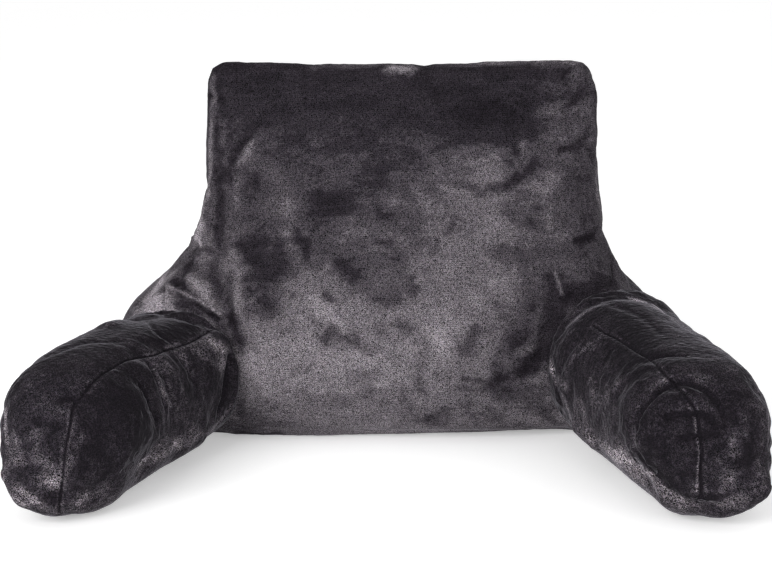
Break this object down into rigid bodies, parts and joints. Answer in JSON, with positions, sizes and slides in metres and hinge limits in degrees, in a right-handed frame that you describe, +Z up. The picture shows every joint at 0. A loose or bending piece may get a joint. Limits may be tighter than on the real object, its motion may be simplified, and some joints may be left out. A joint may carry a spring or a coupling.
{
  "type": "reading pillow with arms",
  "caption": "Free-standing stuffed backrest pillow, wide at its foot, with a padded arm on each side to lean on while sitting up to read.",
  "frame": {"origin": "middle of the backrest's flat underside, on the surface that the pillow stands on", "axes": "+Z up, -Y towards the reader, the way the arms point, +X to the right of someone who looks at the front"},
  "size_m": [0.841, 0.5614, 0.454],
  "materials": {
    "plush": "short-pile plush, dull, with a pale sheen where it is brushed or turns away"
  },
  "bodies": {
    "root": {"backrest": "plush", "arm_left": "plush", "arm_right": "plush"}
  },
  "joints": []
}
